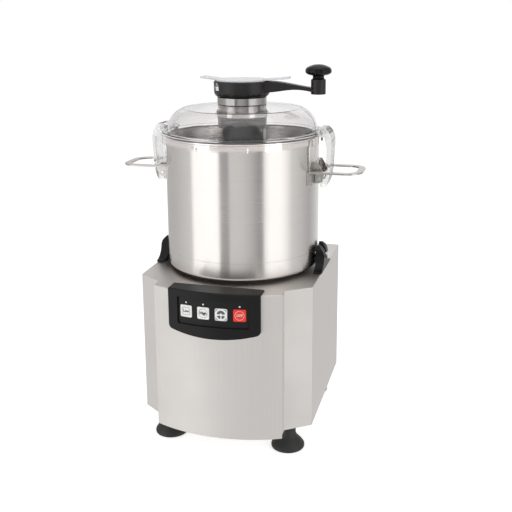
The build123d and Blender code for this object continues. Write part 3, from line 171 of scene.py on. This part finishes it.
# ---------------------------------------------------------------- motor
# Squirrel-cage motor hung under the housing's top, with its capacitor, fan and shaft.
CORE_IRON = (0.10, 0.10, 0.11, 1)
WINDING_COPPER = (0.62, 0.27, 0.11, 1)
CAST_ALUMINIUM = (0.55, 0.55, 0.56, 1)
BRIGHT_STEEL = (0.74, 0.735, 0.725, 1)
SEAL_RUBBER = (0.05, 0.05, 0.052, 1)
CAPACITOR_CASE = (0.70, 0.70, 0.66, 1)
BLACK_PLASTIC = (0.0145, 0.0125, 0.0125, 1)
core_iron = plain_finish("core_iron", CORE_IRON, 0.45, speck=600.0, Metallic=0.6)
dress(core_iron, "motor_stator", "rotor_core")
winding_copper = plain_finish("winding_copper", WINDING_COPPER, 0.30, speck=900.0, depth=2e-5, Metallic=1.0)
dress(winding_copper, "stator_windings")
cast_aluminium = plain_finish("cast_aluminium", CAST_ALUMINIUM, 0.48, speck=350.0, depth=1e-5, Metallic=1.0)
dress(cast_aluminium, "motor_upper_shield", "motor_lower_shield")
bright_steel = brushed_steel("bright_steel", BRIGHT_STEEL, even(300.0), 0.16, 0.1, depth=1e-6)
dress(bright_steel, "shaft_bearings", "motor_shaft")
seal_rubber = plain_finish("seal_rubber", SEAL_RUBBER, 0.45, speck=500.0)
dress(seal_rubber, "shaft_seal")
dress(plain_finish("capacitor_case", CAPACITOR_CASE, 0.38), "run_capacitor")
black_plastic = plain_finish("black_plastic", BLACK_PLASTIC, 0.34, speck=700.0, depth=4e-6, edge=0.0008,
                             Specular_IOR_Level=0.38)
dress(black_plastic, "cooling_fan", "cable_gland")

# ---------------------------------------------------------------- control panel
# Moulded black frame on the bulged front, a matt key membrane behind its window, four square keys
# with printed marks and a small lamp over three of them. The circuit board sits behind.
DEEP_BLACK = (0.0095, 0.0090, 0.0090, 1)
MEMBRANE_BLACK = (0.010, 0.010, 0.010, 1)
KEY_WHITE = (0.95, 0.955, 0.95, 1)
KEY_RED = (1.0, 0.04, 0.02, 1)
LAMP_LENS = (0.85, 0.86, 0.84, 1)
PRINT_GREY = (0.12, 0.12, 0.125, 1)
PRINT_PALE = (0.42, 0.42, 0.44, 1)
PRINT_WHITE = (0.88, 0.88, 0.88, 1)
BOARD_GREEN = (0.03, 0.16, 0.07, 1)
PRINT_SINK = 0.00004
PRINT_THICKNESS = 0.00009
PRINT_PROBE = 0.03
LETTER_WEIGHT = 0.05
KEY_ORDER = ("low", "high", "pulse", "off")
KEY_SIDE = 0.0182
KEY_PITCH = 0.027
KEY_PROBE_Y = -0.149
KEY_MIDDLE_Z = 0.2358
MARK_HALF = 0.0069
MARK_LINE = 0.00045
FRAME_HALF = MARK_HALF * 0.86
FRAME_CORNER = 6.0
WORD_SIZE = 0.0052
HIGH_WORD_SIZE = 0.0058
WHEEL_RADIUS = 0.0064
WHEEL_LINE = 0.0043
WHEEL_ARCS = ((10, 170), (200, 259), (281, 340))
CORNER_REACH = KEY_SIDE * 0.455
CORNER_HOLLOW = CORNER_REACH * 1.06


def outline_mesh(loops):
    """A flat mesh of faces, each given by its corners (u, v)."""
    mesh = bpy.data.meshes.new("print")
    points, faces = [], []
    for loop in loops:
        faces.append(list(range(len(points), len(points) + len(loop))))
        points += [(u, v, 0.0) for u, v in loop]
    mesh.from_pydata(points, [], faces)
    return mesh


def lettering(words, size):
    """A flat mesh of letters, centred."""
    curve = bpy.data.curves.new("letters", "FONT")
    curve.body = words
    curve.size = size
    curve.align_x, curve.align_y = "CENTER", "CENTER"
    curve.resolution_u = 3
    curve.offset = size * LETTER_WEIGHT
    holder = bpy.data.objects.new("letters", curve)
    bpy.context.scene.collection.objects.link(holder)
    depsgraph = bpy.context.evaluated_depsgraph_get()
    mesh = bpy.data.meshes.new_from_object(holder.evaluated_get(depsgraph))
    bpy.data.objects.remove(holder)
    return mesh


def spot(radius, angle):
    return radius * math.cos(angle), radius * math.sin(angle)


def square_reach(angle, corner):
    """How far a rounded square goes out at an angle, as a share of its half side. No corner: a circle."""
    if corner is None:
        return 1.0
    return (abs(math.cos(angle)) ** corner + abs(math.sin(angle)) ** corner) ** (-1.0 / corner)


def band(radius, line, start=0.0, end=360.0, steps=48, corner=None):
    """Quads along a circle, or along a rounded square where corner is given."""
    quads = []
    for i in range(steps):
        angles = [math.radians(start + (end - start) * (i + k) / steps) for k in (0, 1)]
        inner = [spot((radius - line) * square_reach(a, corner), a) for a in angles]
        outer = [spot(radius * square_reach(a, corner), a) for a in angles]
        quads.append([inner[0], outer[0], outer[1], inner[1]])
    return quads


def filled_corners():
    """Faces that fill a key's four corners, from a circle out to a square."""
    faces = []
    for turn in (45, 135, 225, 315):
        arc = [math.radians(turn - 32 + 8 * k) for k in range(9)]
        hollow, rim = [[[max(-CORNER_REACH, min(CORNER_REACH, c)) for c in spot(radius, a)] for a in arc]
                       for radius in (CORNER_HOLLOW, 2 * CORNER_REACH)]
        faces += [[hollow[k], rim[k], rim[k + 1], hollow[k + 1]] for k in range(1, 7)]
    return faces


def printed(name, mesh, target, middle, azimuth, material, body):
    """Lays a flat mesh on a CAD node, seen from an azimuth, as a thin layer of print."""
    facing = Vector((math.sin(azimuth), -math.cos(azimuth), 0.0))
    right = Vector((math.cos(azimuth), math.sin(azimuth), 0.0))
    up = Vector((0.0, 0.0, 1.0))
    surface = nodes[target]
    into = surface.matrix_world.inverted()
    form = bmesh.new()
    form.from_mesh(mesh)
    bmesh.ops.remove_doubles(form, verts=form.verts, dist=1e-7)
    for vertex in form.verts:
        flat = Vector(middle) + right * vertex.co.x + up * vertex.co.y
        start = flat + facing * PRINT_PROBE
        hit, place = surface.ray_cast(into @ start, into.to_3x3() @ -facing)[:2]
        vertex.co = (surface.matrix_world @ place if hit else flat) - facing * PRINT_SINK
    raised = bmesh.ops.extrude_face_region(form, geom=form.faces[:])["geom"]
    for vertex in raised:
        if isinstance(vertex, bmesh.types.BMVert):
            vertex.co += facing * PRINT_THICKNESS
    bmesh.ops.recalc_face_normals(form, faces=form.faces)
    form.to_mesh(mesh)
    form.free()
    mesh.name = name
    mesh.materials.clear()
    mesh.materials.append(material)
    piece = bpy.data.objects.new(name, mesh)
    bpy.context.scene.collection.objects.link(piece)
    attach(piece, body)


deep_black = plain_finish("deep_black", DEEP_BLACK, 0.36, speck=700.0, depth=4e-6, edge=0.0008,
                          Specular_IOR_Level=0.20)
dress(deep_black, "control_bezel")
membrane_black = plain_finish("membrane_black", MEMBRANE_BLACK, 0.42, speck=900.0, Specular_IOR_Level=0.22)
dress(membrane_black, "control_membrane")
key_white = plain_finish("key_white", KEY_WHITE, 0.30, speck=800.0, depth=2e-6)
dress(key_white, "button_low", "button_high", "button_pulse")
dress(plain_finish("key_red", KEY_RED, 0.30, speck=800.0, depth=2e-6), "button_off")
dress(plain_finish("lamp_lens", LAMP_LENS, 0.2, speck=800.0, depth=2e-6), "indicator_lamps")
dress(plain_finish("board_green", BOARD_GREEN, 0.35, speck=600.0), "control_board")
print_grey = plain_finish("print_grey", PRINT_GREY, 0.5, speck=900.0, depth=1e-6)
print_pale = plain_finish("print_pale", PRINT_PALE, 0.5, speck=900.0, depth=1e-6)
print_white = plain_finish("print_white", PRINT_WHITE, 0.5, speck=900.0, depth=1e-6)


def key_print(name, mesh, key, material=print_grey):
    """Prints a mark on a key, in the row's order from left to right."""
    middle = ((KEY_ORDER.index(key) - 1.5) * KEY_PITCH, KEY_PROBE_Y, KEY_MIDDLE_Z)
    printed(name, mesh, "button_" + key, middle, 0.0, material, "key_" + key)


wheel = [quad for start, end in WHEEL_ARCS for quad in band(WHEEL_RADIUS, WHEEL_LINE, start, end, 16)]
key_print("low_frame", outline_mesh(band(FRAME_HALF, MARK_LINE, corner=FRAME_CORNER)), "low")
key_print("low_word", lettering("Low", WORD_SIZE), "low")
key_print("high_ring", outline_mesh(band(MARK_HALF, MARK_LINE)), "high")
key_print("high_word", lettering("High", HIGH_WORD_SIZE), "high")
key_print("off_ring", outline_mesh(band(MARK_HALF, MARK_LINE)), "off", print_white)
key_print("off_word", lettering("OFF", WORD_SIZE), "off", print_white)
key_print("pulse_wheel", outline_mesh(wheel), "pulse")
key_print("pulse_corners", outline_mesh(filled_corners()), "pulse", print_pale)

# ---------------------------------------------------------------- seat and forks
# A dark rubber ring on the housing's top takes the bowl's floor. Two moulded forks at the sides, open
# at the top, hold the bowl's pins.
# The seat's dark colour is partly dark rubber and partly painted shade: it also gives the shadowed dark
# line under the bowl.
dress(seal_rubber, "bowl_seat")
dress(deep_black, "fork_left", "fork_right")

# ---------------------------------------------------------------- bowl
# Spun and brushed stainless bowl with strip handles, catch plates and pins welded to its sides. Its
# grain runs round the wall.
BOWL_STEEL = (0.745, 0.712, 0.685, 1)
BOWL_GRAIN = (5.0, 5.0, 900.0)
# Painted shade: the handles and catch plates are the bowl's stainless steel, but their colour is darkened
# to stand in for the darker reflections they show.
STRIP_STEEL_PAINTED_SHADE = (0.56, 0.535, 0.51, 1)
bowl_steel = brushed_steel("bowl_steel", BOWL_STEEL, BOWL_GRAIN, 0.235, 0.92, (0.02, 0.01, 1.0))
dress(bowl_steel, "bowl_shell", "bowl_tube")
dress(bright_steel, "bowl_pins", "catch_pins")
strip_steel_painted_shade = brushed_steel("strip_steel_painted_shade", STRIP_STEEL_PAINTED_SHADE, even(260.0), 0.2, 0.2, depth=1e-6)
dress(strip_steel_painted_shade, "handle_left", "handle_right", "catch_left", "catch_right")

# ---------------------------------------------------------------- blades
# Two ground sickle knives on a hub that drops over the shaft, with a grip knob on top.
BLADE_STEEL = (0.76, 0.76, 0.765, 1)
blade_steel = brushed_steel("blade_steel", BLADE_STEEL, even(420.0), 0.2, 0.3, (1.0, 0.3, 0.1))
dress(blade_steel, "blade_hub", "lower_blade", "blade_spacer", "upper_blade", "blade_nut")
dress(black_plastic, "hub_knob")

# ---------------------------------------------------------------- lid
# Clear moulded dome with a skirt and a front lip, a dark seal on the rim, and two clear latches on
# steel pins.
CLEAR_LID = (0.90, 0.885, 0.885, 1)
CLEAR_LATCH = (0.76, 0.755, 0.75, 1)
LAMP_PASS = (0.96, 0.965, 0.965, 1)
LID_WAVES = 26.0
LID_WAVE_DEPTH = 4e-5
LID_SCUFFS = 240.0


def clear_plastic(name, colour, roughness, gloss=0.5):
    """Moulded polycarbonate. Lamps shine through it, so what it covers is lit."""
    material, tree, shader = new_material(name)
    waves = grain(tree, even(LID_WAVES), 3.0)
    scuffs = grain(tree, even(LID_SCUFFS), 4.0)
    finish_shader(tree, shader, Base_Color=colour, Transmission_Weight=1.0, IOR=1.5,
                  Specular_IOR_Level=gloss,
                  Roughness=rescaled(tree, scuffs, NOISE_MIDDLE, (roughness, roughness + 0.03)),
                  Normal=relief(tree, waves, LID_WAVE_DEPTH))
    pane = add(tree, "BsdfTransparent", {"Color": LAMP_PASS})
    lamps = add(tree, "LightPath").outputs["Is Shadow Ray"]
    mixed = add(tree, "MixShader", {0: lamps, 1: shader.outputs[0], 2: pane.outputs[0]})
    tree.links.new(mixed.outputs[0], tree.nodes["Material Output"].inputs["Surface"])
    return material


dress(clear_plastic("clear_lid", CLEAR_LID, 0.012, gloss=0.28), "lid_dome")
dress(clear_plastic("clear_latch", CLEAR_LATCH, 0.09), "latch_left", "latch_right")
dress(seal_rubber, "lid_seal")
dress(bright_steel, "latch_pins")

# ---------------------------------------------------------------- crank and scraper
# A black ring with a swept arm turns on a polished sleeve, carries the scraper under the lid, and
# ends in a glossy knob on its pin. A milky cap closes the feed opening.
KNOB_GLOSS = (0.006, 0.0045, 0.005, 1)
# Painted shade: the polished sleeve's steel colour is darkened to stand in for the dark reflections it
# shows.
COLLAR_STEEL_PAINTED_SHADE = (0.40, 0.385, 0.38, 1)
WIPER_WHITE = (0.80, 0.80, 0.77, 1)
MILKY_CAP = (0.78, 0.80, 0.84, 1)
dress(black_plastic, "crank_handle")
dress(deep_black, "scraper_hub", "scraper_arm")
dress(screw_steel, "crank_pin")
knob_gloss = plain_finish("knob_gloss", KNOB_GLOSS, 0.12, speck=60.0, depth=1e-6, edge=0.0003,
                          Specular_IOR_Level=0.22)
dress(knob_gloss, "crank_knob")
collar_steel_painted_shade = brushed_steel("collar_steel_painted_shade", COLLAR_STEEL_PAINTED_SHADE, even(300.0), 0.12, 0.1, depth=1e-6)
dress(collar_steel_painted_shade, "scraper_sleeve", "sleeve_retainer")
dress(plain_finish("wiper_white", WIPER_WHITE, 0.45, speck=500.0), "wiper_strip")
dress(plain_finish("milky_cap", MILKY_CAP, 0.28, speck=60.0, depth=5e-7, edge=0.0003), "feed_cap")

# A closed padlock with an arrow is printed on the ring's front left.
CRANK_AXIS = Vector((0.0, 0.0179, 0.0))
RING_PROBE_RADIUS = 0.044
LOCK_Z = 0.5492
LOCK_AZIMUTH = math.radians(-45)
LOCK_WIDTH, LOCK_HEIGHT, LOCK_COLUMNS = 0.0096, 0.0062, 6
SHACKLE_RADIUS = 0.0034
SHACKLE_LINE = SHACKLE_RADIUS * 0.36
SHACKLE_RISE = 0.0016
SHACKLE_LEGS = (-0.0002, 0.0017)
ARROW = [(-0.0112, -0.0045), (-0.0064, -0.0022), (-0.0112, 0.0001)]


def upright(left, right, bottom, top):
    """The corners of a rectangle."""
    return [(left, bottom), (right, bottom), (right, top), (left, top)]


edges = [LOCK_WIDTH / 2 * (2 * k / LOCK_COLUMNS - 1) for k in range(LOCK_COLUMNS + 1)]
lock = [upright(left, right, -LOCK_HEIGHT, 0.0) for left, right in zip(edges, edges[1:])]
bow = band(SHACKLE_RADIUS, SHACKLE_LINE, 0, 180, 16)
lock += [[(u, v + SHACKLE_RISE) for u, v in quad] for quad in bow]
leg_lefts = (-SHACKLE_RADIUS, SHACKLE_RADIUS - SHACKLE_LINE)
lock += [upright(left, left + SHACKLE_LINE, *SHACKLE_LEGS) for left in leg_lefts]
ring_place = (math.sin(LOCK_AZIMUTH) * RING_PROBE_RADIUS,
              CRANK_AXIS.y - math.cos(LOCK_AZIMUTH) * RING_PROBE_RADIUS, LOCK_Z)
printed("padlock", outline_mesh(lock + [ARROW]), "crank_handle", ring_place, LOCK_AZIMUTH, print_white,
        "crank")

# ---------------------------------------------------------------- studio
# Pale floor, soft lamps, and a surround whose tall light and dark bands show in mirrored light alone.
# Each band is an angle from the line of sight, to the right, and its level. Light that comes down
# through the lid has the same bands, times a scale of its own.
WHITE = (1, 1, 1, 1)
LAMP_WHITE = (1.0, 0.985, 0.97)
FLOOR_PAPER = (0.86, 0.86, 0.86, 1)
FLOOR_SIDE = 12.0
FLOOR_GLOW = 0.60
SIDE_DISTANCE, SIDE_HEIGHT, SIDE_AIM, SIDE_SIZE = 1.7, 0.75, (0, 0, 0.33), (0.75, 1.9)
TOP_PLACE, TOP_AIM, TOP_SIZE = (0.1, -0.1, 2.3), (0, 0, 0.3), (1.8, 1.8)
LEFT_AZIMUTH, RIGHT_AZIMUTH = -58, 45
LEFT_WATTS, RIGHT_WATTS, TOP_WATTS = 9, 10, 9
DIFFUSE_LEVEL = 0.50
TOP_LEVEL = 0.80
STEEP = (0.45, 0.9)
LID_SKY = (0.12, 0.3)
BAND_SCALE = 1.5
LID_SCALE = 1.7
BANDS = ((-180, 0.90), (-154, 0.52), (-118, 0.60), (-92, 0.74), (-81, 0.80), (-79, 1.40), (-38, 1.50),
         (-35, 1.30), (-33, 0.46), (-21, 0.42), (-19, 0.78), (0, 0.74), (13, 0.60), (25, 0.36), (30, 0.40),
         (33, 1.15), (42, 1.45), (60, 1.40), (70, 1.15), (78, 0.82), (118, 0.50), (150, 0.78), (180, 0.90))
VIEW_AZIMUTH = math.radians(14.93)


def seen_rays(tree, path):
    """One for rays of the camera and through clear plastic, zero for the rest."""
    return add(tree, "Math", {0: path.outputs["Is Camera Ray"], 1: path.outputs["Is Transmission Ray"]},
               operation="MAXIMUM").outputs[0]


def blend(tree, factor, first, second):
    return add(tree, "Mix", {"Factor": factor, "A": first, "B": second}).outputs["Result"]


def soft_lamp(name, place, target, size, power, mirrored):
    lamp = bpy.data.lights.new(name, "AREA")
    lamp.shape = "RECTANGLE"
    lamp.size, lamp.size_y = size
    lamp.energy = power
    lamp.color = LAMP_WHITE
    holder = bpy.data.objects.new(name, lamp)
    holder.location = place
    holder.rotation_euler = (Vector(target) - Vector(place)).to_track_quat("-Z", "Y").to_euler()
    holder.visible_glossy = mirrored
    bpy.context.scene.collection.objects.link(holder)


def around(azimuth, distance, height):
    """A point at an angle from the line of sight, which leads from the machine to the camera."""
    angle = VIEW_AZIMUTH + math.radians(azimuth)
    return (CRANK_AXIS.x + math.sin(angle) * distance, CRANK_AXIS.y - math.cos(angle) * distance, height)


def banded_light(tree, heading):
    """The level of the surround's bands at a heading."""
    turn = (0.0, 0.0, math.radians(90) - VIEW_AZIMUTH)
    turned = add(tree, "Mapping", {"Vector": heading, "Rotation": turn})
    sweep = add(tree, "TexGradient", {"Vector": turned.outputs[0]}, gradient_type="RADIAL")
    ramp = add(tree, "ValToRGB", {"Fac": sweep.outputs["Fac"]})
    stops = ramp.color_ramp.elements
    while len(stops) < len(BANDS):
        stops.new(0.5)
    for stop, (angle, _) in zip(stops, BANDS):
        stop.position = angle / 360 + 0.5
    for stop, (_, level) in zip(stops, BANDS):
        stop.color = even(level / BAND_SCALE) + (1,)
    return times(tree, ramp.outputs["Color"], BAND_SCALE)


floor_paper, tree, shader = new_material("floor_paper")
seen = seen_rays(tree, add(tree, "LightPath"))
finish_shader(tree, shader, Base_Color=FLOOR_PAPER, Roughness=0.9, Specular_IOR_Level=0.0,
              Emission_Color=WHITE, Emission_Strength=times(tree, seen, FLOOR_GLOW))
floor_mesh = bpy.data.meshes.new("floor")
floor_mesh.from_pydata([(x, y, 0.0) for x, y in upright(-FLOOR_SIDE, FLOOR_SIDE, -FLOOR_SIDE, FLOOR_SIDE)],
                       [], [(0, 1, 2, 3)])
floor_mesh.materials.append(floor_paper)
floor = bpy.data.objects.new("floor", floor_mesh)
bpy.context.scene.collection.objects.link(floor)
floor.visible_glossy = False

left_place = around(LEFT_AZIMUTH, SIDE_DISTANCE, SIDE_HEIGHT)
right_place = around(RIGHT_AZIMUTH, SIDE_DISTANCE, SIDE_HEIGHT)
soft_lamp("lamp_left", left_place, SIDE_AIM, SIDE_SIZE, LEFT_WATTS, False)
soft_lamp("lamp_right", right_place, SIDE_AIM, SIDE_SIZE, RIGHT_WATTS, False)
soft_lamp("lamp_top", TOP_PLACE, TOP_AIM, TOP_SIZE, TOP_WATTS, True)

world = bpy.data.worlds.new("studio")
bpy.context.scene.world = world
world.use_nodes = True
world.cycles.sampling_method = "NONE"
tree = world.node_tree
path = add(tree, "LightPath")
heading = add(tree, "TexCoord").outputs["Generated"]
height = add(tree, "SeparateXYZ", {"Vector": heading}).outputs["Z"]
steep = rescaled(tree, add(tree, "Math", {0: height}, operation="ABSOLUTE").outputs[0], STEEP)
bands = banded_light(tree, heading)
unseen = blend(tree, path.outputs["Is Glossy Ray"], DIFFUSE_LEVEL, blend(tree, steep, bands, TOP_LEVEL))
above = times(tree, rescaled(tree, height, LID_SKY), path.outputs["Is Transmission Ray"])
clear = blend(tree, above, 1.0, times(tree, bands, LID_SCALE))
feed(tree, tree.nodes["Background"].inputs["Color"], WHITE)
feed(tree, tree.nodes["Background"].inputs["Strength"], blend(tree, seen_rays(tree, path), unseen, clear))
bpy.context.scene.view_settings.view_transform = "Standard"

# ---------------------------------------------------------------- camera
# A little above the machine and to its right, with the lens and the shift that frame the whole of it.
CAMERA_PLACE = (0.3433, -1.1844, 0.6536)
CAMERA_DROP = math.radians(12.96)
CAMERA_ROLL = math.radians(-0.35)
CAMERA_SHIFT = (-0.0015, -0.1087)
CAMERA_CLIP = (0.05, 60.0)
FOCAL_PIXELS = 800.15
FRAME_PIXELS = 512
SENSOR = 36.0
camera_data = bpy.data.cameras.new("camera")
camera_data.sensor_width = SENSOR
camera_data.lens = FOCAL_PIXELS / FRAME_PIXELS * SENSOR
camera_data.shift_x, camera_data.shift_y = CAMERA_SHIFT
camera_data.clip_start, camera_data.clip_end = CAMERA_CLIP
camera = bpy.data.objects.new("camera", camera_data)
camera.matrix_world = (Matrix.Translation(CAMERA_PLACE) @ Matrix.Rotation(VIEW_AZIMUTH, 4, "Z")
                       @ Matrix.Rotation(math.radians(90) - CAMERA_DROP, 4, "X")
                       @ Matrix.Rotation(CAMERA_ROLL, 4, "Z"))
bpy.context.scene.collection.objects.link(camera)
bpy.context.scene.camera = camera
